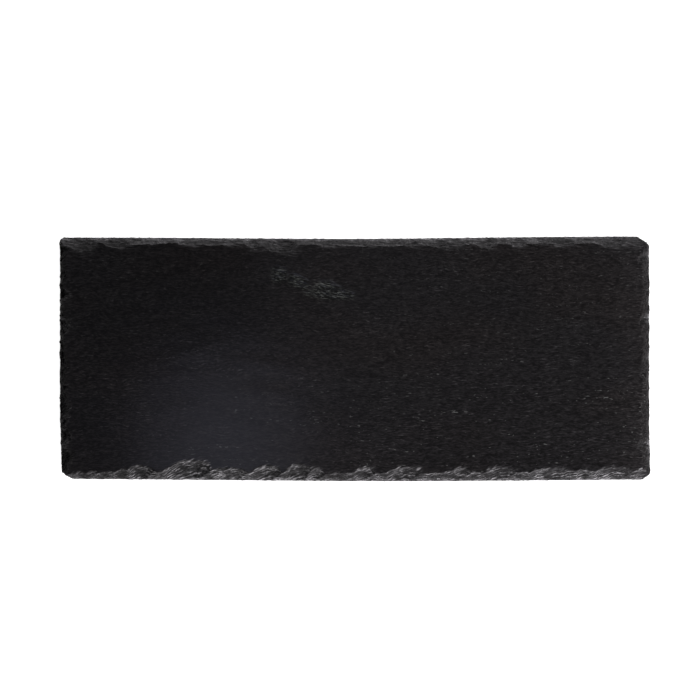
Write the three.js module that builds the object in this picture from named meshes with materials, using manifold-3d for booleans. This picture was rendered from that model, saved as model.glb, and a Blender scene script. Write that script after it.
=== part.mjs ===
// Slate slab: one riven plate of dark slate whose four edges are dressed by hand, chip by chip.
// Millimetres, +Z up. X runs along the length and Y across the width.
// The origin is the middle of the flat underside.
import * as THREE from 'three';
import * as BufferGeometryUtils from 'three/addons/utils/BufferGeometryUtils.js';
import Module from 'manifold-3d';

// Driving dimensions.
const length = 300;
const width = 125;
const thickness = 6;

// How far each corner is broken off, as [along the length, across the width].
const cornerBreak = {
  frontLeft: [5.8, 3.8],
  frontRight: [4.2, 3.4],
  backRight: [6.3, 4.8],
  backLeft: [2, 1.8],
};

// The long edges aren't quite straight: the front one bows out, and the back one dips and then spreads.
const frontBow = { at: 22, spread: 160, depth: 1.2, power: 1.3 };
const backDip = { at: -5, spread: 75, depth: 0.7 };
const backSpread = 0.5;

// The left edge leans in over its last stretch, towards the front corner, where the right one leans out.
const leftLean = { length: 35, depth: 0.95 };
const rightLean = { from: -30, to: -50, depth: 0.4 };

// Raggedness of the broken outline: waves of [depth, radians per millimetre, phase].
const outlineWaves = [[0.16, 0.52, 0.4], [0.1, 1.27, 2.1], [0.07, 2.3, 4.4]];
const outlineStep = 4.2;

// Every rim is broken back at least this far at the top, above a low wall that is left of the old edge.
const rimBreak = { alongLength: 3.2, acrossWidth: 4.1, wall: 1.8 };

// Chips dressed off the top rim, as [centre along the edge, span, reach over the top face].
const frontChips = [
  [-138.5, 15, 3.6], [-128, 14, 4.2], [-119, 14, 5.6], [-110, 17, 7.2], [-87, 31, 9.6],
  [-64, 24, 6.4], [-46, 19, 7.3], [-30, 16, 8], [-23, 10, 6.8], [-12, 14, 4.6],
  [3, 15, 7], [22, 24, 7.2], [41, 16, 4.4], [52, 14, 6.8], [72, 20, 7.3],
  [96, 30, 6.4], [114, 14, 5.4], [129, 28, 6.8], [145, 13, 6.2],
];
const backChips = [
  [-141, 26, 7.8], [-122, 20, 6.4], [-105.5, 22, 3.2], [-86, 23, 4.6], [-68, 20, 4.8],
  [-54, 14, 5.6], [-41, 26, 8], [-17, 34, 3.6], [9, 24, 3.8], [26, 15, 5.2],
  [40, 17, 6.4], [51, 13, 5.2], [64, 19, 6.6], [80, 19, 5.8], [93, 15, 4.4],
  [104, 19, 5.8], [116, 13, 3.2], [127, 24, 7], [142, 20, 5.8],
];
const leftChips = [
  [-51, 16, 5.8], [-40, 14, 6.2], [-27, 15, 6], [-17, 13, 3.6], [-5, 15, 3.9],
  [7, 12, 3.2], [15.5, 12, 6.2], [23, 10, 3], [31, 9, 5.4], [42, 15, 4.1], [53, 14, 4.4],
];
const rightChips = [
  [-52, 14, 4.6], [-41, 12, 6.8], [-31, 11, 4], [-21, 12, 4.6], [-10, 13, 4.2],
  [1, 12, 4.8], [12, 12, 4.2], [21, 10, 5.8], [33, 13, 4.3], [44, 12, 4.7], [53, 10, 5.6],
];

// Height of the wall that a chip leaves under it, and how round a chip is against its own slope.
const wallUnderChip = { least: 1.1, most: 2.1 };
const chipRoundness = 1.7;
const chipDetail = 2;

// Small spalls off the lower rim, about one every few millimetres, each between the two shares of this size.
const lowerSpall = { every: 17, wander: 0.5, span: 11, reach: 1.5, depth: 0.8, shares: [0.7, 1.2] };

// A shallow flaked scar in the top face, a chain of [x, y, long radius, short radius, turn].
const scar = [
  [-38, 42, 6, 4, -0.2],
  [-28, 38.4, 11, 4, -0.35],
  [-13.5, 33.8, 14, 4.6, -0.12],
];
const scarDepth = 0.35;
const scarDomeHeight = 2.2;

// Vertices closer than this are one vertex of a solid.
const mergeDistance = 1e-4;

const wasm = await Module();
wasm.setup();

// How far in the ragged outline lies at a distance along it.
function worn(distance) {
  const waves = outlineWaves.map(([depth, rate, phase]) => depth * (1 + Math.sin(distance * rate + phase)));
  return waves.reduce((sum, depth) => sum + depth, 0);
}

// A repeatable value between 0 and 1 for the chip at this place.
function spread(place) {
  const value = Math.sin(place * 12.9898 + 4.1) * 43758.5453;
  return value - Math.floor(value);
}

function frontEdge(x) {
  const { at, spread: reach, depth, power } = frontBow;
  return -width / 2 + depth * (Math.abs(x - at) / reach) ** power + worn(x);
}

function backEdge(x) {
  const dip = backDip.depth * Math.exp(-(((x - backDip.at) / backDip.spread) ** 2));
  const spreadOut = backSpread * (1 - THREE.MathUtils.smoothstep(x, 0, length / 2));
  return width / 2 - spreadOut - dip - worn(x + 2 * length);
}

function leftEdge(y) {
  const intoLean = Math.max(0, -width / 2 + leftLean.length - y);
  return -length / 2 + (leftLean.depth * intoLean) / leftLean.length + worn(y + 3 * length);
}

function rightEdge(y) {
  const leanedOut = THREE.MathUtils.smoothstep(-y, -rightLean.from, -rightLean.to);
  return length / 2 - rightLean.depth * (1 - leanedOut) - worn(y + length);
}

// Points from one place to another at about the outline step, both ends included.
function steps(from, to) {
  const count = Math.max(1, Math.round(Math.abs(to - from) / outlineStep));
  return Array.from({ length: count + 1 }, (_, i) => from + ((to - from) * i) / count);
}

function plateOutline() {
  const halfLength = length / 2;
  const halfWidth = width / 2;
  const { frontLeft, frontRight, backRight, backLeft } = cornerBreak;
  const front = steps(-halfLength + frontLeft[0], halfLength - frontRight[0]);
  const right = steps(-halfWidth + frontRight[1], halfWidth - backRight[1]);
  const back = steps(halfLength - backRight[0], -halfLength + backLeft[0]);
  const left = steps(halfWidth - backLeft[1], -halfWidth + frontLeft[1]);
  return [
    ...front.map((x) => new THREE.Vector2(x, frontEdge(x))),
    ...right.map((y) => new THREE.Vector2(rightEdge(y), y)),
    ...back.map((x) => new THREE.Vector2(x, backEdge(x))),
    ...left.map((y) => new THREE.Vector2(leftEdge(y), y)),
  ];
}

// A solid from a closed geometry, whose shared vertices are merged by position alone.
function solidFrom(geometry) {
  geometry.deleteAttribute('normal');
  geometry.deleteAttribute('uv');
  const merged = BufferGeometryUtils.mergeVertices(geometry, mergeDistance);
  const mesh = new wasm.Mesh({
    numProp: 3,
    vertProperties: new Float32Array(merged.attributes.position.array),
    triVerts: new Uint32Array(merged.index.array),
  });
  return new wasm.Manifold(mesh);
}

// The plate has rings of vertices at the underside, the wall's top and the top face, which is drawn in.
function plate() {
  const outline = new THREE.Shape(plateOutline());
  const geometry = new THREE.ExtrudeGeometry(outline, { depth: thickness, steps: 2, bevelEnabled: false });
  const { position } = geometry.attributes;
  for (let i = 0; i < position.count; i += 1) {
    const ring = Math.round((2 * position.getZ(i)) / thickness);
    position.setZ(i, [0, rimBreak.wall, thickness][ring]);
    if (ring === 2) {
      position.setX(i, position.getX(i) * (1 - (2 * rimBreak.alongLength) / length));
      position.setY(i, position.getY(i) * (1 - (2 * rimBreak.acrossWidth) / width));
    }
  }
  return solidFrom(geometry);
}

// An ellipsoid whose round side takes the corner off an edge that runs along X. The corner is at the
// origin, with the material on its -Y and -Z sides. The chip reaches this far in and this far down.
function chipCutter(span, reach, depth) {
  const slope = Math.hypot(reach, depth);
  const radius = chipRoundness * slope;
  const toSlope = Math.sqrt(radius ** 2 - slope ** 2 / 4);
  const cornerHeight = (reach * depth) / slope;
  const spanShare = Math.sqrt(1 - ((toSlope - cornerHeight) / radius) ** 2);
  const cutter = new THREE.IcosahedronGeometry(1, chipDetail);
  cutter.scale(span / 2 / spanShare, radius, radius);
  const outward = (depth / slope) * toSlope - reach / 2;
  const upward = (reach / slope) * toSlope - depth / 2;
  cutter.translate(0, outward, upward);
  return cutter;
}

// The four edges: where a place along each one lies, and how far its outward side is turned from +Y.
const edges = [
  { chips: frontChips, turn: Math.PI, at: (x) => [x, frontEdge(x)] },
  { chips: backChips, turn: 0, at: (x) => [x, backEdge(x)] },
  { chips: leftChips, turn: Math.PI / 2, at: (y) => [leftEdge(y), y] },
  { chips: rightChips, turn: -Math.PI / 2, at: (y) => [rightEdge(y), y] },
];

function topChips() {
  return edges.flatMap(({ chips, turn, at }) => chips.map(([place, span, reach]) => {
    const wall = THREE.MathUtils.lerp(wallUnderChip.least, wallUnderChip.most, spread(place));
    const cutter = chipCutter(span, reach, thickness - wall);
    cutter.rotateZ(turn);
    cutter.translate(...at(place), thickness);
    return solidFrom(cutter);
  }));
}

function lowerSpalls() {
  const { every, wander, span, reach, depth, shares } = lowerSpall;
  return edges.flatMap(({ chips, turn, at }) => {
    const first = chips[0][0];
    const last = chips[chips.length - 1][0];
    const count = Math.floor((last - first) / every);
    return Array.from({ length: count }, (_, i) => {
      const place = first + (i + 0.5 + wander * (spread(i + turn) - 0.5)) * every;
      const share = THREE.MathUtils.lerp(shares[0], shares[1], spread(place));
      const cutter = chipCutter(span * share, reach * share, depth * share);
      cutter.rotateY(Math.PI);
      cutter.rotateZ(turn);
      cutter.translate(...at(place), 0);
      return solidFrom(cutter);
    });
  });
}

function scarFlakes() {
  return scar.map(([x, y, longRadius, shortRadius, turn]) => {
    const cutter = new THREE.IcosahedronGeometry(1, chipDetail);
    const share = Math.sqrt(1 - ((scarDomeHeight - scarDepth) / scarDomeHeight) ** 2);
    cutter.scale(longRadius / share, shortRadius / share, scarDomeHeight);
    cutter.rotateZ(turn);
    cutter.translate(x, y, thickness + scarDomeHeight - scarDepth);
    return solidFrom(cutter);
  });
}

function slabGeometry() {
  const cuts = wasm.Manifold.union([...topChips(), ...lowerSpalls(), ...scarFlakes()]);
  const { vertProperties, triVerts } = plate().subtract(cuts).getMesh();
  const geometry = new THREE.BufferGeometry();
  geometry.setAttribute('position', new THREE.BufferAttribute(vertProperties, 3));
  geometry.setIndex(new THREE.BufferAttribute(triVerts, 1));
  geometry.computeBoundingBox();
  const middle = geometry.boundingBox.getCenter(new THREE.Vector3());
  geometry.translate(-middle.x, -middle.y, 0);
  geometry.computeVertexNormals();
  return geometry;
}

const slate = new THREE.MeshStandardMaterial({ color: 0x1e1d1e, roughness: 0.62, metalness: 0 });
const slab = new THREE.Mesh(slabGeometry(), slate);
slab.name = 'slab';

const model = new THREE.Group();
model.add(slab);
export default model;
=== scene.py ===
import math

import bmesh
import bpy
from mathutils import Matrix, Vector, noise


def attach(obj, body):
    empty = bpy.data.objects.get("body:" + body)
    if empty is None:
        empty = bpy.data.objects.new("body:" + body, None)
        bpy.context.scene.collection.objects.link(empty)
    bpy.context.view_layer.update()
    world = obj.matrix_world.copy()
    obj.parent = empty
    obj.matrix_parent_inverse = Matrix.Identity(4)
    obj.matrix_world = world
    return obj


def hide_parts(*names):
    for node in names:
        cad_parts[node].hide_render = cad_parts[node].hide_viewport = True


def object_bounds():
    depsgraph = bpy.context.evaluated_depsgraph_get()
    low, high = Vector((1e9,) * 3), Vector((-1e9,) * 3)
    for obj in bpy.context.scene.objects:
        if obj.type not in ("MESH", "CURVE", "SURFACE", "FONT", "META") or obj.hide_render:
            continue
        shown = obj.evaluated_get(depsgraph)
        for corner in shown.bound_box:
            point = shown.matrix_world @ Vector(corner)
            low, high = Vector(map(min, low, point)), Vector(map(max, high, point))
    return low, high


# A slate slab lying flat: a riven plate with four hand-dressed edges.
# Shapes are worked in millimetres and turned into metres when the mesh is written.
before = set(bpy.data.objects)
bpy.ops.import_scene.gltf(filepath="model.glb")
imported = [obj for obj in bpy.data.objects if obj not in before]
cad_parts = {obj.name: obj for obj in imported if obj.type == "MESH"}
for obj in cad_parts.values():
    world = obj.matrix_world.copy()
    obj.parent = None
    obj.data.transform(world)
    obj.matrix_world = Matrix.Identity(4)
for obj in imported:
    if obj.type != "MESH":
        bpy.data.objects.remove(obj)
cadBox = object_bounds()
mm = 0.001

halfLength = cadBox[1].x / mm
halfWidth = cadBox[1].y / mm
topHeight = cadBox[1].z / mm
print(f"frame: {2 * halfLength:.1f} x {2 * halfWidth:.1f} x {topHeight:.1f} mm")


def smooth(low, high, value):
    share = min(1.0, max(0.0, (value - low) / (high - low)))
    return share * share * (3 - 2 * share)


def mix(a, b, share):
    return a + (b - a) * share


def grain(x, y, size, seed=0.0, stretch=1.0):
    return noise.noise(Vector((x / (size * stretch), y / size, seed)))


def grains(x, y, layers):
    # grains added up, each given as its height, size, seed and stretch along X
    return sum(height * grain(x, y, *layer) for height, *layer in layers)


def spread(place):
    # a repeatable value between 0 and 1 for this place
    value = math.sin(place * 12.9898 + 4.1) * 43758.5453
    return value - math.floor(value)


outline = {
    "cornerBreak": {                 # how much of each corner is gone: along the length, across the width
        "frontLeft": (5.8, 3.8),
        "frontRight": (4.2, 3.4),
        "backRight": (6.3, 4.8),
        "backLeft": (2.0, 1.8),
    },
    "frontBow": (22.0, 160.0, 1.2, 1.3),   # where the front edge stands out most, how wide, deep and sharp
    "backDip": (-5.0, 75.0, 0.7),    # where, how wide and how deep the back edge dips
    "backSpread": 0.5,               # how much wider the back edge runs at its right end
    "leftLean": (35.0, 0.95),        # over how long and how far the left edge leans in at the front
    "rightLean": (-30.0, -50.0, 0.4),      # between which places, and how far, the right edge leans out
    "bendReach": 22.0,               # how far into the plate the edges' bends are felt
}


def frontIn(x):
    at, wide, deep, power = outline["frontBow"]
    return deep * (abs(x - at) / wide) ** power


def backIn(x):
    at, wide, deep = outline["backDip"]
    dip = deep * math.exp(-(((x - at) / wide) ** 2))
    return outline["backSpread"] * (1 - smooth(0, halfLength, x)) + dip


def leftIn(y):
    lean, deep = outline["leftLean"]
    return deep * max(0.0, lean - halfWidth - y) / lean


def rightIn(y):
    start, end, deep = outline["rightLean"]
    return deep * (1 - smooth(-start, -end, -y))


# A chip is its centre along the edge, its span, its reach over the top face and how pale it is. The notes
# beside the front edge's values hold for the other edges too.
edges = {
    "front": {
        "inset": frontIn,            # how far the outline bends in along this edge
        "rim": (3.4, 4.8),           # reach of the break between chips, at the edge's first end and elsewhere
        "rimFrom": (-135, -105),     # where the one turns into the other
        "round": 1.0,                # 1 is a straight slope, and less is rounded over
        "ragged": 0.4,               # how far the chips' outlines wander
        "square": 2.8,               # how flat-topped a chip is, from 2, round
        "lean": 0.45,                # how far a chip shifts to the right for each millimetre inwards
        "sheet": 0.85,               # thickness of the split sheets
        "slope": 0.62,               # how much of the break's slope their treads keep
        "tilt": 0.2,                 # how steeply the sheets lie along the edge
        "lump": 0.03,                # height of the bumps
        "lip": 0.1,                  # height of the little step behind the break
        "hollow": 0.12,              # depth of the pits low on it
        "splinterSize": (0.7, 6.0),  # width of a torn splinter, and how many times longer it is
        "splinterTurn": 22,
        "splinterBreak": 0.3,        # how far the splinters break the sheets up
        "splinterHeight": 0.05,
        "rightShallowShade": 0.65,               # how much shallower a chip's right side is, and how much painted shade darkens it there
        "fade": (0.15, 0.55),        # depth at which the break is fully pale, and how pale it is far in
        "tear": 0.35,                # how far the pale strands run out over the face
        # sheet ends and crests get painted highlights, the crushed outer line is partly painted light, and
        # splinters keep their own tones
        "marks": {                   # how much paler these make the break
            "sheetEnd": 0.85, "crest": 0.25, "splinter": 0.2, "bruise": 0.45, "crushed": 0.45,
        },
        "toneSeed": 500,             # its chips' own tones are drawn from this number on
        "flakes": 36,
        "flakeReach": (3.2, 6.2),
        "chips": [
            (-138.5, 15, 3.4, 0.34), (-128, 14, 3.9, 0.38), (-119, 14, 5.2, 0.52), (-110, 17, 7.2, 0.64),
            (-87, 31, 9.6, 1.05), (-64, 24, 6.4, 0.9), (-46, 19, 7.3, 0.86), (-30, 17, 8.0, 0.88),
            (-22, 14, 6.3, 1.0), (-12, 14, 4.4, 0.35), (3, 15, 7.0, 1.05), (22, 24, 7.2, 0.84),
            (41, 16, 4.4, 1.0), (52, 14, 6.8, 0.7), (72, 20, 7.3, 0.76), (96, 30, 6.4, 0.92),
            (114, 14, 5.4, 0.8), (129, 28, 6.8, 0.96), (145, 13, 6.2, 0.75),
        ],
    },
    "back": {
        "inset": backIn, "rim": (3.5, 3.9), "rimFrom": (-135, -105), "round": 1.0,
        "ragged": 0.6, "square": 2.0, "lean": 0.6,
        "sheet": 0.5, "slope": 0.5, "tilt": -0.05, "lump": 0.06, "lip": 0.05, "hollow": 0.1,
        "splinterSize": (0.6, 9.0), "splinterTurn": -6, "splinterBreak": 0.5, "splinterHeight": 0.1,
        "rightShallowShade": 0.3, "fade": (0.8, 0.5), "tear": 1.1,
        "marks": {"sheetEnd": 0.3, "crest": 0.2, "splinter": 0.2, "bruise": 0.28, "crushed": 0.35},
        "toneSeed": 400, "flakes": 26, "flakeReach": (2.6, 5.0),
        "chips": [
            (-141, 26, 7.8, 1.0), (-122, 20, 6.4, 0.9), (-105.5, 22, 3.2, 1.25), (-86, 23, 4.6, 1.0),
            (-68, 20, 4.8, 1.1), (-54, 14, 5.6, 1.1), (-41, 26, 8, 0.95), (-17, 34, 3.6, 1.25),
            (9, 24, 3.8, 1.25), (26, 15, 4.7, 1.2), (40, 17, 5.9, 1.1), (51, 13, 4.9, 1.2),
            (64, 19, 6.1, 1.15), (80, 19, 5.5, 1.2), (93, 15, 4.4, 1.25), (104, 19, 5.5, 1.3),
            (116, 13, 3.2, 1.3), (127, 24, 6.4, 1.25), (142, 20, 5.8, 1.2),
        ],
    },
    # its chips are much less pale than the other edges': partly painted shade, as this side faces away from
    # the lights
    "left": {
        "inset": leftIn, "rim": (4.5, 2.8), "rimFrom": (-8, 6), "round": 0.8,
        "ragged": 1.3, "square": 2.0, "lean": 0.3,
        "sheet": 0.8, "slope": 0.35, "tilt": 0.1, "lump": 0.25, "lip": 0.0, "hollow": 0.45,
        "splinterSize": (0.9, 3.0), "splinterTurn": 30, "splinterBreak": 1.0, "splinterHeight": 0.4,
        "rightShallowShade": 0.3, "fade": (0.8, 1.0), "tear": 0.5,
        "marks": {"sheetEnd": 0.35, "crest": 0.6, "splinter": 0.5, "bruise": 0.0, "crushed": 0.25},
        "toneSeed": 400, "flakes": 16, "flakeReach": (2.4, 5.4),
        "chips": [
            (-51, 16, 6.4, 0.14), (-40, 14, 6.0, 0.3), (-27, 15, 5.8, 0.18), (-17, 13, 4.6, 0.1),
            (-5, 15, 4.8, 0.08), (7, 12, 4.0, 0.08), (15.5, 12, 6.0, 0.35), (23, 10, 3.6, 0.05),
            (31, 9, 5.4, 0.3), (42, 15, 4.1, 0.05), (53, 14, 4.4, 0.08),
        ],
    },
    "right": {
        "inset": rightIn, "rim": (5.2, 4.8), "rimFrom": (-8, 6), "round": 0.45,
        "ragged": 0.8, "square": 2.0, "lean": -0.4,
        "sheet": 0.6, "slope": 0.35, "tilt": 0.1, "lump": 0.1, "lip": 0.0, "hollow": 0.3,
        "splinterSize": (0.8, 3.0), "splinterTurn": -20, "splinterBreak": 0.8, "splinterHeight": 0.16,
        "rightShallowShade": 0.2, "fade": (6.0, 0.9), "tear": 1.6,
        "marks": {"sheetEnd": 0.4, "crest": 0.3, "splinter": 0.3, "bruise": 0.0, "crushed": 0.45},
        "toneSeed": 500, "flakes": 14, "flakeReach": (2.0, 4.2),
        "chips": [
            (-52, 14, 3.8, 0.26), (-42, 10, 7.2, 1.1), (-34, 11, 3.2, 0.13), (-21, 12, 3.6, 0.15),
            (-10, 13, 3.2, 0.13), (1, 12, 4.2, 0.3), (12, 12, 3.2, 0.13), (21, 9, 6.6, 1.0),
            (30, 13, 3.2, 0.13), (44, 12, 3.5, 0.13), (53, 10, 6.6, 0.8),
        ],
    },
}
chipShape = {
    "leastWall": 1.1, "mostWall": 2.1,     # height of the wall left under a chip
    "rimWall": 1.7,                  # and under the break between chips
    "rimWander": (9, 0.3),           # size of that break's wander along the edge, and its share of the reach
    "roundness": 3.0,                # a chip's radius against its own slope
    "fadedBy": 1.3,                  # how far to its right a chip is shallowest, 1 being its end
    "lipReach": (0.5, 1.4), "lipDepth": (0.25, 0.7), "lipSpan": 0.8, "lipShift": 0.3,
    "flakeSpan": (4.5, 10.0), "flakeDepth": (0.5, 3.6),
    "reachedBy": 13.0,               # no chip reaches further in than this
}


def cutter(centre, span, reach, depth, square):
    # the rounded solid that takes such a chip off the corner of the edge, as numbers that give a height
    slope = math.hypot(reach, depth)
    radius = chipShape["roundness"] * slope
    toSlope = math.sqrt(radius ** 2 - slope ** 2 / 4)
    spanShare = (1 - ((toSlope - reach * depth / slope) / radius) ** 2) ** (1 / square)
    return {
        "at": centre, "half": span / 2 / spanShare, "radius": radius,
        "out": depth / slope * toSlope - reach / 2, "up": reach / slope * toSlope - depth / 2,
    }


def cutters(edge, seed):
    # the main chips, a shallow lip behind each one, and small flakes over the whole edge
    made = []
    square = edge["square"]
    for centre, span, reach, _ in edge["chips"]:
        wall = mix(chipShape["leastWall"], chipShape["mostWall"], spread(centre))
        made.append(cutter(centre, span, reach, topHeight - wall, square))
        lip = mix(*chipShape["lipReach"], spread(centre + seed))
        shift = span * chipShape["lipShift"] * (spread(centre + 2 * seed) - 0.5)
        depth = mix(*chipShape["lipDepth"], spread(centre + 3 * seed))
        made.append(cutter(centre + shift, span * chipShape["lipSpan"], reach + lip, depth, square))
    first, last = edge["chips"][0][0], edge["chips"][-1][0]
    for number in range(edge["flakes"]):
        centre = mix(first, last, (number + spread(seed + number)) / edge["flakes"])
        span = mix(*chipShape["flakeSpan"], spread(seed + 1.7 * number))
        reach = mix(*edge["flakeReach"], spread(seed + 2.9 * number))
        depth = mix(*chipShape["flakeDepth"], spread(seed + 4.3 * number))
        made.append(cutter(centre, span, reach, depth, square))
    return made


for number, name in enumerate(edges, 1):
    edges[name]["cutters"] = cutters(edges[name], 11.3 * number)


def chippedHeight(edge, along, inward):
    # the lowest of the broken rim and every chip over this place, which chip that is, and how far to its side
    # this place lies. Just outside the break this height is above the top face, which tells how near it is
    size, share = chipShape["rimWander"]
    reach = mix(*edge["rim"], smooth(*edge["rimFrom"], along))
    reach *= 1 + share * noise.noise(Vector((along / size, 0.5, edge["rim"][0])))
    lowest = mix(chipShape["rimWall"], topHeight, max(0.0, inward / reach) ** edge["round"])
    owner, beside = -1, 0.0
    for number, cut in enumerate(edge["cutters"]):
        side = (along - cut["at"] - edge["lean"] * inward) / cut["half"]
        if abs(side) >= 1:
            continue
        over = 1 - abs(side) ** edge["square"] - ((inward + cut["out"]) / cut["radius"]) ** 2
        if over <= 0:
            continue
        depth = cut["radius"] * math.sqrt(over) - cut["up"]
        right = (along - cut["at"]) / cut["half"]
        height = topHeight - depth * (1 - edge["rightShallowShade"] * smooth(0.0, chipShape["fadedBy"], right))
        if height < lowest:
            lowest, owner, beside = height, number, side
    return lowest, owner, beside


def paleness(edge, along):
    # how pale the break is here, between the nearest chips' own
    chips = edge["chips"]
    for before, after in zip(chips, chips[1:]):
        if along < after[0]:
            return mix(before[3], after[3], smooth(before[0], after[0], along))
    return chips[-1][3]


broken = {
    # grains, each with its height, size, seed and stretch along X
    "wanderAlong": ((1.6, 7, 21.0), (0.7, 2.6, 23.0)),
    "wanderIn": ((1.1, 5, 22.0), (0.9, 1.9, 24.0), (0.5, 0.9, 26.0)),
    "swayAlong": ((0.9, 4, 31.0),),
    "swayAcross": ((0.5, 3, 33.0),),
    "warp": ((0.4, 7, 1.5),),
    "lumps": ((1.0, 3.4, 2.2), (0.5, 1.6, 6.1)),
    "pits": ((1.0, 2.2, 41.0, 3.6), (0.35, 1.0, 43.0, 2.0)),
    "riserGaps": ((1.0, 3.0, 51.0, 1.6),),
    "crushedWander": ((0.9, 3.0, 53.0),),
    # a sheet's parts, as shares of its thickness
    "tread": 0.6, "beforeRiser": 0.15, "afterRiser": 0.1, "riserEnd": 0.93,
    # across a splinter: where its crest rises, how near to the next one it is full, and how it fades inside
    "crestAt": (-0.1, 0.5), "fullBy": 0.12, "insideFade": 0.6,
    "splinterTilt": 0.9,             # how much higher a splinter is on its crest's side
    "nearBy": 1.5,                   # how high above the face a break is still felt
    "nearAtRim": 0.6, "nearPerDepth": 0.4,           # how near it counts at the face, and further down
    "wornBy": 0.8,                   # depth from which sheets, splinters and pits are fully there
    "lipBy": 0.15,                   # and the lip's little step
    "leftSide": (-0.2, 0.5), "rightSide": (0.1, 0.9),    # where across a chip its one side ends or starts
    "pitFrom": (0.5, 1.3), "pitTo": (2.6, 4.2),      # how far in from the edge the pits lie
    "pitAt": (0.08, 0.42),           # how strong their grain is where they start and where they are deepest
    "pitShade": 0.45,                 # how much of the paleness a pit's painted shade takes away
    "bruiseFrom": 0.12, "bruiseTo": (0.3, 1.0),      # depths between which the bruised line lies
    "gapsAt": (-0.25, 0.2),          # how strong its grain is where a riser starts to be pale, and is so
    "crushedTo": (0.4, 2.4),         # how far in from the edge the crushed line fades
    "paleFrom": -0.8,                # the break's paleness starts this little above the face
    "fadeIn": (1.5, 6.0),            # how far in from the edge the paleness turns to what is left of it
    "sideShade": 0.5, "sideShadeIn": (0.8, 2.2),       # painted shade: a chip's right side, turned away from the light, is this much darker, from here in
}


def laminate(height, warp, step, slope):
    # breaks a slope into thin sheets, flatter treads with steep little risers between them, and tells how
    # near to a riser this place is
    tread = broken["tread"]
    sheets = (height + warp) / step
    whole = math.floor(sheets)
    part = sheets - whole
    riser = smooth(tread - broken["beforeRiser"], tread + broken["afterRiser"], part)
    riser *= 1 - smooth(broken["riserEnd"], 1.0, part)
    return (whole + slope * part + (1 - slope) * smooth(tread, 1, part)) * step - warp, riser


def splinters(edge, x, y):
    # torn splinters lying side by side: each one's own level, how far across it this place is, and its sharp
    # upper rim, from 0 to 1
    width, stretch = edge["splinterSize"]
    turned = math.radians(edge["splinterTurn"])
    swayX = x + grains(x, y, broken["swayAlong"])
    swayY = y + grains(x, y, broken["swayAcross"])
    along = swayX * math.cos(turned) + swayY * math.sin(turned)
    across = swayY * math.cos(turned) - swayX * math.sin(turned)
    away, spots = noise.voronoi(Vector((along / (width * stretch), across / width, 0.0)))
    level = spread(7.3 * spots[0].x + 3.1 * spots[0].y)
    over = across / width - spots[0].y
    inside = smooth(0.0, broken["fullBy"], away[1] - away[0])
    crest = smooth(*broken["crestAt"], over) * (1 - broken["insideFade"] * inside)
    return level, over, crest


def pitted(x, y, inward):
    # how deep the pits are here, from 0 to 1, which also sets their painted shade: they lie low on the break,
    # drawn out along X
    near = smooth(*broken["pitFrom"], inward) * (1 - smooth(*broken["pitTo"], inward))
    return near * smooth(*broken["pitAt"], grains(x, y, broken["pits"]))


def lowestBreak(x, y):
    # the lowest break over this place: its height, its edge and chip, how far in from the edge this place
    # lies, and how far to the chip's side
    wanderAlong = grains(x, y, broken["wanderAlong"])
    wanderIn = grains(x, y, broken["wanderIn"])
    sides = (
        ("front", x, y + halfWidth), ("back", x, halfWidth - y),
        ("left", y, x + halfLength), ("right", y, halfLength - x),
    )
    lowest, kind, owner, depthIn, beside = topHeight + broken["nearBy"], None, -1, 0, 0
    for name, along, inward in sides:
        if inward >= chipShape["reachedBy"]:
            continue
        edge = edges[name]
        inside = inward - edge["inset"](along)
        height, number, side = chippedHeight(
            edge, along + edge["ragged"] * wanderAlong, inside + edge["ragged"] * wanderIn,
        )
        if height < lowest:
            lowest, kind, owner, depthIn, beside = height, name, number, inside, side
    return lowest, kind, owner, depthIn, beside


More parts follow.
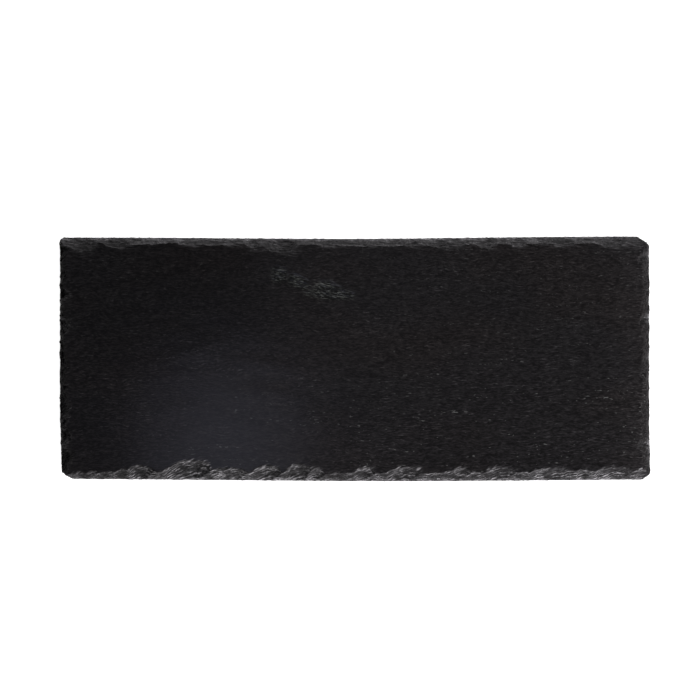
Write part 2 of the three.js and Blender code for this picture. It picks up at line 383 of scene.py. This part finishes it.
def brokenHeight(x, y):
    # the broken rim's height over this place, how near the break is, how far its strands tear, how pale it is
    # less its painted shade, how much paler its marks make it, mostly painted highlights, and a number for
    # its chip's tone
    lowest, kind, owner, depthIn, beside = lowestBreak(x, y)
    if kind is None:
        return topHeight, 0.0, 0.0, 0.0, 0.0, -1
    edge = edges[kind]
    deep = topHeight - lowest
    near = min(1.0, max(0.0, broken["nearAtRim"] + broken["nearPerDepth"] * deep))
    worn = smooth(0.0, broken["wornBy"], deep)
    leftSide = 1 - smooth(*broken["leftSide"], beside)
    rightSide = smooth(*broken["rightSide"], beside)
    sign = -1 if kind in ("front", "left") else 1
    way = x if kind in ("front", "back") else y

    level, over, crest = splinters(edge, x, y)
    warp = sign * edge["tilt"] * way + grains(x, y, broken["warp"])
    warp += edge["splinterBreak"] * edge["sheet"] * level
    layered, riser = laminate(lowest, warp, edge["sheet"], edge["slope"])
    lowest = mix(lowest, layered, worn)
    pit = pitted(x, y, depthIn)
    torn = edge["splinterHeight"] * (level - 0.5 + broken["splinterTilt"] * over)
    lowest += worn * (torn + edge["lump"] * grains(x, y, broken["lumps"]))
    lowest -= worn * edge["hollow"] * pit + edge["lip"] * leftSide * smooth(0.0, broken["lipBy"], deep)

    deepest, farIn = edge["fade"]
    # the chips' own paleness, less the painted shade of the pits
    paleAndShaded = paleness(edge, way - edge["lean"] * depthIn) * (1 - broken["pitShade"] * pit)
    paleAndShaded *= smooth(broken["paleFrom"], deepest, deep)
    paleAndShaded *= mix(1, farIn, smooth(*broken["fadeIn"], depthIn))
    # painted shade on the chip's right side, which faces away from the light
    paleAndShaded *= 1 - broken["sideShade"] * edge["rightShallowShade"] * rightSide * smooth(*broken["sideShadeIn"], depthIn)

    bruise = smooth(0.0, broken["bruiseFrom"], deep) * (1 - smooth(*broken["bruiseTo"], deep))
    crushedIn = depthIn + grains(x, y, broken["crushedWander"])
    shares = {
        "sheetEnd": riser * smooth(*broken["gapsAt"], grains(x, y, broken["riserGaps"])),
        "crest": crest,
        "splinter": level,
        "bruise": bruise * leftSide,
        "crushed": 1 - smooth(*broken["crushedTo"], crushedIn),
    }
    # painted highlights on sheet ends and crests, with some real paleness from splinters and crushing
    rubbedAndLit = sum(edge["marks"][mark] * share for mark, share in shares.items())
    # the right side's painted shade takes away its pale marks too
    rubbedAndLit *= 1 - edge["rightShallowShade"] * rightSide
    return min(lowest, topHeight), near, edge["tear"], paleAndShaded, rubbedAndLit, edge["toneSeed"] + owner


face = {
    "swell": 0.10, "swellGrain": (38, 11.0, 2.0),    # the long low waves, and their size, seed and stretch
    "ripple": 0.05, "rippleGrain": (7, 12.0, 3.0),
    "lowered": 0.6,                  # keeps the waves below the top height
    "scar": [                        # x, y, long radius, short radius, turn
        (-38.5, 42.3, 5.5, 4.8, -0.2), (-28, 38.4, 10, 4.0, -0.35), (-13.5, 33.8, 16, 5.8, -0.12),
    ],
    "scarDepth": 0.45,
    "scarWander": ((0.35, 4, 3.3, 2.0),),
    "scarFrom": (0.45, 1.0),         # shares of its radius between which the scar ends
    "scarTurn": 0.28, "scarStrand": (6, 1.4),        # turn of its strands, and their length and width
    "scarFlakes": ((0.5, 1.6, 7.0, 2.0),),
    "scarLevel": (0.55, 0.5),        # its depth's mean, and how much the flakes change it
    "scarSheet": 0.16, "scarSlope": 0.35,
}


def scarShare(x, y):
    most = 0.0
    for atX, atY, longR, shortR, turn in face["scar"]:
        along = (x - atX) * math.cos(turn) + (y - atY) * math.sin(turn)
        across = -(x - atX) * math.sin(turn) + (y - atY) * math.cos(turn)
        away = math.hypot(along / longR, across / shortR) + grains(x, y, face["scarWander"])
        most = max(most, 1 - smooth(*face["scarFrom"], away))
    return most


def faceHeight(x, y):
    swell = face["swell"] * (grain(x, y, *face["swellGrain"]) - face["lowered"])
    ripple = face["ripple"] * (grain(x, y, *face["rippleGrain"]) - face["lowered"])
    height = topHeight + swell + ripple
    scar = scarShare(x, y)
    if scar > 0:
        turn = face["scarTurn"]
        length, width = face["scarStrand"]
        mean, change = face["scarLevel"]
        along = x * math.cos(turn) - y * math.sin(turn)
        across = x * math.sin(turn) + y * math.cos(turn)
        flakes = noise.noise(Vector((along / length, across / width, 4.0)))
        flakes += grains(x, y, face["scarFlakes"])
        depth = face["scarDepth"] * (mean + change * flakes)
        height -= scar * max(0.0, laminate(depth, 0, face["scarSheet"], face["scarSlope"])[0])
    return min(height, topHeight), scar


mesh = {
    "cell": 2.36,                    # the plain top's cell, halved three times on the broken rims
    "margins": (4.2, 2.2, 0.9),      # how near to a break each halving starts
    "underCell": 3.4, "underInset": 4.0,
    "rimIn": (0.42, 0.24),           # how far in the rim lies, and how ragged it is
    # the wall's rings under it: share of the height above, how far in they lie, and how ragged they are
    "wallRings": ((0.66, 0.3, 0.3), (0.34, 0.16, 0.3), (0.0, 0.32, 0.3)),
    "wallGrain": ((0.75, 3.1, 0.0), (0.5, 1.1, 7.0)),    # their raggedness: height, size and seed
    "ringSeed": 5.0,                 # how much further each ring's seed is
    "leftRagged": 1.0, "leftReach": (1.5, 4.0),      # how much more ragged the left edge is, and how far in
    "sharpTurn": 38,                 # edges that turn by more degrees than this stay sharp
}


def nearBreak(point, margin):
    # whether a broken rim or the scar comes within this distance
    for awayX, awayY in ((0, 0), (0, margin), (0, -margin), (margin, 0), (-margin, 0)):
        x = min(halfLength, max(-halfLength, point.x + awayX))
        y = min(halfWidth, max(-halfWidth, point.y + awayY))
        if brokenHeight(x, y)[0] < topHeight or scarShare(x, y) > 0:
            return True
    return False


def refine(bm, margin):
    chosen = [f for f in bm.faces if nearBreak(bend(f.calc_center_median()), margin)]
    around = {e for f in chosen for e in f.edges}
    bmesh.ops.subdivide_edges(bm, edges=list(around), cuts=1, use_grid_fill=True)


def breakCorners(bm, inset):
    # trims the flat plate's corners along straight lines
    spots = {
        "frontLeft": (-1, -1), "frontRight": (1, -1), "backRight": (1, 1), "backLeft": (-1, 1),
    }
    for name, (sideX, sideY) in spots.items():
        along, across = outline["cornerBreak"][name]
        onLine = Vector((sideX * (halfLength - inset - along), sideY * (halfWidth - inset), 0))
        outward = Vector((sideX * across, sideY * along, 0)).normalized()
        bmesh.ops.bisect_plane(
            bm, geom=list(bm.verts) + list(bm.edges) + list(bm.faces), dist=1e-4,
            plane_co=onLine, plane_no=outward, clear_outer=True,
        )


def flatPlate(cell, inset):
    bm = bmesh.new()
    wide, deep = halfLength - inset, halfWidth - inset
    bmesh.ops.create_grid(
        bm, x_segments=round(2 * wide / cell), y_segments=round(2 * deep / cell), size=1,
        matrix=Matrix.Diagonal((wide, deep, 1, 1)),
    )
    return bm


def bend(point):
    # moves a place of the straight-sided plate to where it lies on the real outline
    far = outline["bendReach"]
    x, y = point.x, point.y
    near = {
        "front": 1 - smooth(0, far, y + halfWidth), "back": 1 - smooth(0, far, halfWidth - y),
        "left": 1 - smooth(0, far, x + halfLength), "right": 1 - smooth(0, far, halfLength - x),
    }
    shiftY = frontIn(x) * near["front"] - backIn(x) * near["back"]
    shiftX = leftIn(y) * near["left"] - rightIn(y) * near["right"]
    return Vector((x + shiftX, y + shiftY, point.z))


def markOutward(bm, layer):
    # each rim vertex keeps the way that faces out of the plate there
    for edge in [e for e in bm.edges if e.is_boundary]:
        first, last = edge.verts
        along = last.co - first.co
        out = Vector((along.y, -along.x, 0))
        if out.dot(edge.link_faces[0].calc_center_median() - first.co) > 0:
            out.negate()
        for vert in edge.verts:
            vert[layer] = (vert[layer] + out.normalized()).normalized()


def raggedIn(point, level, inset, ragged):
    # how far in a ring of the wall lies here: each split sheet breaks off along a line of its own
    shift = mesh["ringSeed"] * level
    layers = [(height, size, seed + shift) for height, size, seed in mesh["wallGrain"]]
    left = 1 - smooth(*mesh["leftReach"], point.x + halfLength)
    return inset + ragged * (1 + mesh["leftRagged"] * left) * grains(point.x, point.y, layers)


def shapeTop(bm):
    # bends the plate to its outline, breaks its rims and marks every vertex for the colours
    names = ("near", "tear", "paleAndShaded", "scarred", "crest", "flakeTone")
    marks = {name: bm.verts.layers.float.new(name) for name in names}
    outward = bm.verts.layers.float_vector.new("outward")
    for vert in bm.verts:
        vert.co = bend(vert.co)
    markOutward(bm, outward)
    for vert in bm.verts:
        x, y = vert.co.x, vert.co.y
        low, near, tear, paleAndShaded, rubbedAndLit, toneSeed = brokenHeight(x, y)
        high, scar = faceHeight(x, y)
        vert.co.z = min(low, high)
        for name, value in zip(names, (near, tear, paleAndShaded, scar, rubbedAndLit, spread(toneSeed))):
            vert[marks[name]] = value
    return outward


def addWalls(bm, outward):
    # the wall under the broken rim, in rings that each break off a little differently. The last ring's
    # edges come back
    rim = [e for e in bm.edges if e.is_boundary]
    above, before = 1.0, mesh["rimIn"]
    for vert in {v for e in rim for v in e.verts}:
        vert.co = vert.co - vert[outward] * raggedIn(vert.co, 1, *before)
    for level, (share, inset, ragged) in enumerate(mesh["wallRings"], 2):
        made = bmesh.ops.extrude_edge_only(bm, edges=rim)["geom"]
        rim = [g for g in made if isinstance(g, bmesh.types.BMEdge)]
        for vert in {v for e in rim for v in e.verts}:
            out = vert[outward]
            straight = vert.co + out * raggedIn(vert.co, level - 1, *before)
            vert.co = straight - out * raggedIn(straight, level, inset, ragged)
            vert.co.z = straight.z * share / above
        above, before = share, (inset, ragged)
    return rim


def addUnderside(bm, rim):
    # a coarser plate, joined to the wall's lowest ring
    under = flatPlate(mesh["underCell"], mesh["underInset"])
    breakCorners(under, mesh["underInset"])
    for vert in under.verts:
        vert.co = bend(vert.co)
    underMesh = bpy.data.meshes.new("under")
    under.to_mesh(underMesh)
    under.free()
    already = set(bm.edges)
    bm.from_mesh(underMesh)
    bpy.data.meshes.remove(underMesh)
    inner = [e for e in bm.edges if e not in already and e.is_boundary]
    bmesh.ops.bridge_loops(bm, edges=rim + inner)


def slabMesh():
    bm = flatPlate(mesh["cell"], 0)
    for margin in mesh["margins"]:
        refine(bm, margin)
    breakCorners(bm, 0)
    print(f"plate: {len(bm.faces)} faces")
    rim = addWalls(bm, shapeTop(bm))
    print(f"walls: {len(bm.faces)} faces")
    addUnderside(bm, rim)
    print(f"underside: {len(bm.faces)} faces, open edges {sum(e.is_boundary for e in bm.edges)}")

    bmesh.ops.triangulate(bm, faces=[f for f in bm.faces if len(f.verts) > 4])
    bmesh.ops.recalc_face_normals(bm, faces=list(bm.faces))
    sharp = math.radians(mesh["sharpTurn"])
    for f in bm.faces:
        f.smooth = True
    for e in bm.edges:
        e.smooth = len(e.link_faces) == 2 and e.calc_face_angle() < sharp
    bmesh.ops.scale(bm, vec=(mm, mm, mm), verts=list(bm.verts))
    made = bpy.data.meshes.new("slateSlab")
    bm.to_mesh(made)
    bm.free()
    return made


slab = bpy.data.objects.new("slate_slab", slabMesh())
bpy.context.collection.objects.link(slab)
triangles = sum(len(p.vertices) - 2 for p in slab.data.polygons)
print(f"slab: {triangles} triangles")


slate = {
    "face": (0.0158, 0.0140, 0.0145, 1), "faceCool": (0.0147, 0.0137, 0.0147, 1),
    "break": (0.0780, 0.0750, 0.0790, 1),
    # half the face's tone from its left end, 0, to its right one, 1: partly its own tone, partly painted
    # light, darker at the left end and paler towards the lit right
    "faceTone": ((0, 0.28), (1, 0.7), (0.26, 0.28), (0.42, 0.43), (0.93, 0.55), (0.975, 0.7)),
    "grainTone": (4.0, 5.0), "grainLeast": 0.55, "streakTone": 1.5, "prickTone": 0.6,
    "grainShares": (0.35, 0.65),     # of the coarse grain and the finest one
    "swayHeight": 2.2,               # how far the grain's lines wave to and fro
    "lowRightPower": 1.5, "lowRightStreaks": 0.03,   # how the right side counts, and how it adds streaks
    "streakSharpness": 9.0, "rowShare": 0.7,         # the second is how much the flecks lie in rows
    # the flecks' colour is partly a painted glint of mica
    "fleck": (0.12, 0.12, 0.12, 1), "scratch": (0.036, 0.036, 0.036, 1),
    "scratches": ((3.9, 52.9, 59.4), (6.9, 54.9, 58.2)),     # each one's x, and its y from and to
    "scratchShare": 0.5, "scratchFade": 1.0,         # how strong a scratch is, and how long its ends fade
    # the crest tone turns the break's marks into painted highlights
    "crestPower": 2.0, "crestTone": (0.42, 3.2), "flakeTone": (0.85, 1.15),
    "lineTone": (2.7, 2.05), "grooveTone": (0.5, 0.6),       # at the front and at the back; the grooves' darkening is painted shade
    "scarPale": (0.108, 0.112, 0.107, 1), "scarDark": (0.6, 0.66, 0.63, 1),
    "faceRoughness": (0.46, 0.62), "roughAt": (0.3, 0.7), "breakRoughness": 0.72,
    "coat": 0.12, "coatRoughness": 0.17, "specular": 0.12,
    "bump": 0.55, "bumpDepth": 0.00022, "streakBump": 0.5, "tornBump": 1.2,
}
slateNoise = {                       # sizes are in millimetres
    "sway": {"sizes": (14, 9, 9)},
    "coarse": {"sizes": (4.0, 0.7, 0.9), "rough": 0.5, "twist": 0.6},
    "finest": {"sizes": (1.8, 0.5, 0.55), "shift": (5, 0, 9), "rough": 0.6, "twist": 0.2},
    "strokes": {"sizes": (4.6, 0.5, 0.7), "shift": (3, 7, 1), "detail": 2.0, "rough": 0.6, "twist": 0.6},
    "patches": {"sizes": (30, 14, 12), "shift": (5, 2, 0), "detail": 2.0, "rough": 0.5},
    "rows": {"sizes": (22, 1.5, 1.5), "shift": (1, 3, 2)},
    "flecks": {"sizes": (2.0, 0.7, 0.8), "shift": (9, 4, 2), "rough": 0.4},
    "pricks": {"sizes": (1.1, 0.9, 0.9), "shift": (2, 8, 5)},
    "broad": {"sizes": (70, 40, 40)},
    "scarStrands": {"sizes": (2.8, 0.52, 0.8), "turn": -9, "detail": 2.0, "rough": 0.6, "twist": 0.5},
    "frontStrands": {"sizes": (6.0, 0.5, 0.5), "turn": 20, "detail": 2.0, "twist": 0.35},
    "backStrands": {"sizes": (8.0, 0.62, 1.3), "turn": -5, "detail": 2.0, "rough": 0.6, "twist": 0.4},
}
slateRange = {                       # from low, from high, to low, to high
    "lowRight": (10, -45, 0.4, 1.6),       # by Y, how much the right side counts towards the front
    "streaks": (0.3, 0.7, 0.66, 0.56),     # how strong a stroke must be, fewer or more of them by patches
    "flecks": (1.115, 1.175, 0, 1),
    "pricks": (0.3, 0.22, 0, 1),
    "leftGrain": (0, 0.35, 1.65, 1.0),     # the grain's contrast is higher at the left end
    "cool": (0.4, 0.6, 0, 1),
    "rightFlecks": (0.1, 0.8, 0.15, 1.0),
    "scratch": (0.16, 0.3, 1, 0),          # by the distance from its line
    "scarStrands": (0.51, 0.66, 0, 1),
    "scarRight": (-36, -18, 0.6, 1.0),     # by X, the scar's left end is darker
    "atBack": (-10, 10, 0, 1),             # by Y, where the front's strands turn into the back's
    "lines": (0.52, 0.61, 0, 1),
    "grooves": (0.47, 0.36, 0, 1),
    "broken": (0.54, 0.68, 0, 1),
}


def addNode(tree, kind, values=None, **settings):
    node = tree.nodes.new(kind)
    for name, value in settings.items():
        setattr(node, name, value)
    for socket, value in (values or {}).items():
        if isinstance(value, bpy.types.NodeSocket):
            tree.links.new(value, node.inputs[socket])
        else:
            node.inputs[socket].default_value = value
    return node


def maths(tree, operation, a, b=0.0, clamp=False):
    return addNode(tree, "ShaderNodeMath", {0: a, 1: b}, operation=operation, use_clamp=clamp).outputs[0]


def times(tree, first, *others):
    for other in others:
        first = maths(tree, "MULTIPLY", first, other)
    return first


def ranged(tree, value, fromLow, fromHigh, toLow, toHigh):
    values = {"Value": value, "From Min": fromLow, "From Max": fromHigh, "To Min": toLow, "To Max": toHigh}
    return addNode(tree, "ShaderNodeMapRange", values).outputs[0]


def mixed(tree, share, a, b):
    return addNode(tree, "ShaderNodeMix", {0: share, 2: a, 3: b}).outputs[0]


def blended(tree, share, a, b, way="MIX"):
    values = {0: share, 6: a, 7: b}
    return addNode(tree, "ShaderNodeMix", values, data_type="RGBA", blend_type=way).outputs[2]


def stretched(tree, place, sizes, turn=0.0, shift=(0, 0, 0)):
    # the place measured in units of these sizes, along axes turned about the upright one
    values = {0: place, "Location": shift, "Rotation": (0, 0, math.radians(turn)), "Scale": sizes}
    return addNode(tree, "ShaderNodeMapping", values, vector_type="TEXTURE").outputs[0]


def noiseOf(tree, place, sizes, turn=0.0, shift=(0, 0, 0), detail=1.0, rough=0.55, twist=0.0):
    where = stretched(tree, place, sizes, turn, shift)
    values = {"Vector": where, "Scale": 1.0, "Detail": detail, "Roughness": rough, "Distortion": twist}
    return addNode(tree, "ShaderNodeTexNoise", values).outputs[0]


def marked(tree, name):
    return addNode(tree, "ShaderNodeAttribute", attribute_name=name).outputs["Fac"]


def toneAlong(tree, right):
    # the face's tone along its length, as a curve that holds half of it; partly painted light, darker at the
    # left end and paler towards the right where the light falls
    tone = addNode(tree, "ShaderNodeFloatCurve", {1: right})
    points = tone.mapping.curves[0].points
    for spot, value in zip(points, slate["faceTone"][:2]):
        spot.location = value
    for value in slate["faceTone"][2:]:
        points.new(*value)
    tone.mapping.update()
    return times(tree, tone.outputs[0], 2.0)


def faceFinish(tree, place, parts):
    # a wavy split grain, short pale streaks along the plate, rows of pale flecks that are partly painted mica
    # glints, more of them towards the right and front, and dark pricks
    sway = noiseOf(tree, place, **slateNoise["sway"])
    height = slate["swayHeight"]
    lift = addNode(tree, "ShaderNodeCombineXYZ", {"Y": ranged(tree, sway, 0, 1, -height, height)}).outputs[0]
    swayed = addNode(tree, "ShaderNodeVectorMath", {0: place, 1: lift}, operation="ADD").outputs[0]
    coarse = noiseOf(tree, swayed, **slateNoise["coarse"])
    finest = noiseOf(tree, swayed, **slateNoise["finest"])
    coarseShare, finestShare = slate["grainShares"]
    fine = maths(tree, "ADD", times(tree, coarse, coarseShare), times(tree, finest, finestShare))

    right = ranged(tree, parts["X"], -halfLength, halfLength, 0, 1)
    lowRight = maths(tree, "POWER", right, slate["lowRightPower"])
    lowRight = times(tree, lowRight, ranged(tree, parts["Y"], *slateRange["lowRight"]))
    strokes = noiseOf(tree, swayed, **slateNoise["strokes"])
    patches = noiseOf(tree, place, **slateNoise["patches"])
    threshold = ranged(tree, patches, *slateRange["streaks"])
    threshold = maths(tree, "SUBTRACT", threshold, times(tree, lowRight, slate["lowRightStreaks"]))
    above = maths(tree, "SUBTRACT", strokes, threshold)
    streak = maths(tree, "MULTIPLY", above, slate["streakSharpness"], clamp=True)

    # pale flecks in rows: partly painted glints of mica
    rows = times(tree, noiseOf(tree, swayed, **slateNoise["rows"]), slate["rowShare"])
    flecks = maths(tree, "ADD", noiseOf(tree, place, **slateNoise["flecks"]), rows)
    fleck = ranged(tree, flecks, *slateRange["flecks"])
    fleck = times(tree, fleck, ranged(tree, lowRight, *slateRange["rightFlecks"]))
    prick = ranged(tree, noiseOf(tree, place, **slateNoise["pricks"]), *slateRange["pricks"])

    grainTone = times(
        tree, maths(tree, "SUBTRACT", fine, 0.5), ranged(tree, lowRight, 0, 1, *slate["grainTone"]),
        ranged(tree, right, *slateRange["leftGrain"]),
    )
    tone = times(
        tree, toneAlong(tree, right),
        maths(tree, "MAXIMUM", maths(tree, "ADD", grainTone, 1.0), slate["grainLeast"]),
        ranged(tree, streak, 0, 1, 1, 1 + slate["streakTone"]),
        ranged(tree, prick, 0, 1, 1, slate["prickTone"]),
    )
    cool = ranged(tree, noiseOf(tree, place, **slateNoise["broad"]), *slateRange["cool"])
    colour = blended(tree, cool, slate["face"], slate["faceCool"])
    colour = blended(tree, 1.0, colour, tone, "MULTIPLY")
    colour = blended(tree, fleck, colour, slate["fleck"])
    for x, low, high in slate["scratches"]:
        across = maths(tree, "ABSOLUTE", maths(tree, "SUBTRACT", parts["X"], x))
        along = maths(tree, "ABSOLUTE", maths(tree, "SUBTRACT", parts["Y"], (low + high) / 2))
        end = (high - low) / 2
        share = times(
            tree, ranged(tree, across, *slateRange["scratch"]),
            ranged(tree, along, end - slate["scratchFade"], end, slate["scratchShare"], 0),
        )
        colour = blended(tree, share, colour, slate["scratch"])
    return colour, fine, streak


def scarFinish(tree, place, parts, faceColour):
    # pale strands with dark gaps between them, running down to the right
    strand = ranged(tree, noiseOf(tree, place, **slateNoise["scarStrands"]), *slateRange["scarStrands"])
    strand = times(tree, strand, ranged(tree, parts["X"], *slateRange["scarRight"]))
    dark = blended(tree, 1.0, faceColour, slate["scarDark"], "MULTIPLY")
    return blended(tree, strand, dark, slate["scarPale"])


def breakFinish(tree, place, parts):
    # paler, with painted highlights on its crests and sheet ends, painted shade in its grooves and thin torn
    # strands across it
    crest = maths(tree, "POWER", marked(tree, "crest"), slate["crestPower"])
    crest = ranged(tree, crest, 0, 1, *slate["crestTone"])
    own = ranged(tree, marked(tree, "flakeTone"), 0, 1, *slate["flakeTone"])
    frontStrands = noiseOf(tree, place, **slateNoise["frontStrands"])
    backStrands = noiseOf(tree, place, **slateNoise["backStrands"])
    atBack = ranged(tree, parts["Y"], *slateRange["atBack"])
    torn = mixed(tree, atBack, frontStrands, backStrands)
    line = ranged(tree, torn, *slateRange["lines"])
    # painted shade in the grooves between the strands
    groove = ranged(tree, torn, *slateRange["grooves"])
    lineTone = ranged(tree, atBack, 0, 1, *slate["lineTone"])
    grooveTone = ranged(tree, atBack, 0, 1, *slate["grooveTone"])
    tone = times(
        tree, crest, own, ranged(tree, line, 0, 1, 1, lineTone), ranged(tree, groove, 0, 1, 1, grooveTone),
    )
    return blended(tree, 1.0, slate["break"], tone, "MULTIPLY"), torn


def slateFinish():
    material = bpy.data.materials.new("rivenSlate")
    material.use_nodes = True
    tree = material.node_tree
    shader = tree.nodes["Principled BSDF"]
    where = addNode(tree, "ShaderNodeTexCoord").outputs["Object"]
    place = stretched(tree, where, (mm, mm, mm))
    parts = addNode(tree, "ShaderNodeSeparateXYZ", {0: place}).outputs

    faceColour, fine, streak = faceFinish(tree, place, parts)
    scarColour = scarFinish(tree, place, parts, faceColour)
    faceColour = blended(tree, marked(tree, "scarred"), faceColour, scarColour)
    breakColour, torn = breakFinish(tree, place, parts)
    strands = times(tree, maths(tree, "SUBTRACT", torn, 0.5), marked(tree, "tear"))
    reach = maths(tree, "ADD", marked(tree, "near"), strands)
    onBreak = ranged(tree, reach, *slateRange["broken"])
    # the break's paleness, with painted shade in its pits, on chips' right sides and along the left edge
    paleAndShaded = times(tree, marked(tree, "paleAndShaded"), onBreak)
    tree.links.new(blended(tree, paleAndShaded, faceColour, breakColour), shader.inputs["Base Color"])

    faceRough = ranged(tree, fine, *slate["roughAt"], *slate["faceRoughness"])
    rough = mixed(tree, onBreak, faceRough, slate["breakRoughness"])
    tree.links.new(rough, shader.inputs["Roughness"])

    height = maths(tree, "ADD", fine, times(tree, streak, slate["streakBump"]))
    height = maths(tree, "ADD", height, times(tree, torn, onBreak, slate["tornBump"]))
    values = {"Height": height, "Strength": slate["bump"], "Distance": slate["bumpDepth"]}
    tree.links.new(addNode(tree, "ShaderNodeBump", values).outputs[0], shader.inputs["Normal"])

    shader.inputs["Specular IOR Level"].default_value = slate["specular"]
    shader.inputs["Coat Weight"].default_value = slate["coat"]
    shader.inputs["Coat Roughness"].default_value = slate["coatRoughness"]
    return material


slab.data.materials.append(slateFinish())
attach(slab, "root")
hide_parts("slab")


studio = {
    "frameWidth": 355.5, "frameHeight": 1,   # millimetres seen across the frame, and at what height
    "lens": 85, "sensor": 36,
    "aim": (-2.52, 4.5),             # the place under the camera, in millimetres
    "floorSize": 4, "floorHeight": -0.0002, "floorGrey": 0.85, "floorRoughness": 0.9,
    "floorSpecular": 0.1, "floorGlow": 0.95,
    "sky": ((0.25, 0.4), (0.75, 0.016)),     # its grey, below and above these places
    "lights": {                      # sizes and places in metres
        "frontLight": {"place": (0.9, -1.5, 0.55), "size": (0.7, 0.3), "power": 36},
        "backLight": {"place": (0.5, 1.5, 0.6), "size": (1.2, 0.3), "power": 16},
        "rightLight": {"place": (1.5, 0.1, 0.5), "size": (0.5, 1.2), "power": 9},
        "sheenLight": {
            "place": (-0.142, -0.102, 1.0), "size": (0.17, 0.17), "power": 0.42,
            "colour": (0.75, 0.77, 1.0), "sheen": True,
        },
    },
}


def paleFloor():
    bm = bmesh.new()
    bmesh.ops.create_grid(bm, x_segments=1, y_segments=1, size=studio["floorSize"])
    made = bpy.data.meshes.new("floor")
    bm.to_mesh(made)
    bm.free()
    floor = bpy.data.objects.new("floor", made)
    floor.location.z = studio["floorHeight"]
    bpy.context.collection.objects.link(floor)
    material = bpy.data.materials.new("paleFloor")
    material.use_nodes = True
    shader = material.node_tree.nodes["Principled BSDF"]
    grey = studio["floorGrey"]
    shader.inputs["Base Color"].default_value = (grey, grey, grey, 1)
    shader.inputs["Roughness"].default_value = studio["floorRoughness"]
    shader.inputs["Specular IOR Level"].default_value = studio["floorSpecular"]
    shader.inputs["Emission Color"].default_value = (1, 1, 1, 1)
    shader.inputs["Emission Strength"].default_value = studio["floorGlow"]
    made.materials.append(material)
    floor.visible_diffuse = False    # the white floor throws no light back on to the dark stone
    floor.visible_glossy = False


def softLight(name, place, size, power, colour=(1, 1, 1), sheen=False):
    # one light alone gives the sheen, and the others only light the stone
    data = bpy.data.lights.new(name, "AREA")
    data.shape = "ELLIPSE"
    data.size, data.size_y = size
    data.energy = power
    data.color = colour
    light = bpy.data.objects.new(name, data)
    light.location = place
    light.rotation_euler = (-Vector(place)).to_track_quat("-Z", "Y").to_euler()
    light.visible_glossy = sheen
    light.visible_diffuse = not sheen
    bpy.context.collection.objects.link(light)


def softSky():
    world = bpy.data.worlds.new("softSky")
    world.use_nodes = True
    tree = world.node_tree
    where = tree.nodes.new("ShaderNodeTexCoord")
    parts = tree.nodes.new("ShaderNodeSeparateXYZ")
    ramp = tree.nodes.new("ShaderNodeValToRGB")
    for stop, (position, grey) in zip(ramp.color_ramp.elements, studio["sky"]):
        stop.position = position
        stop.color = (grey, grey, grey, 1)
    tree.links.new(where.outputs["Generated"], parts.inputs[0])
    tree.links.new(parts.outputs["Z"], ramp.inputs["Fac"])
    tree.links.new(ramp.outputs["Color"], tree.nodes["Background"].inputs["Color"])
    bpy.context.scene.world = world


def overheadCamera():
    data = bpy.data.cameras.new("overhead")
    data.lens, data.sensor_width = studio["lens"], studio["sensor"]
    camera = bpy.data.objects.new("overhead", data)
    distance = studio["frameWidth"] * studio["lens"] / studio["sensor"]
    camera.location = (studio["aim"][0] * mm, studio["aim"][1] * mm, (distance + studio["frameHeight"]) * mm)
    bpy.context.collection.objects.link(camera)
    bpy.context.scene.camera = camera


paleFloor()
softSky()
for name, light in studio["lights"].items():
    softLight(name, **light)
overheadCamera()
bpy.context.scene.view_settings.view_transform = "Standard"
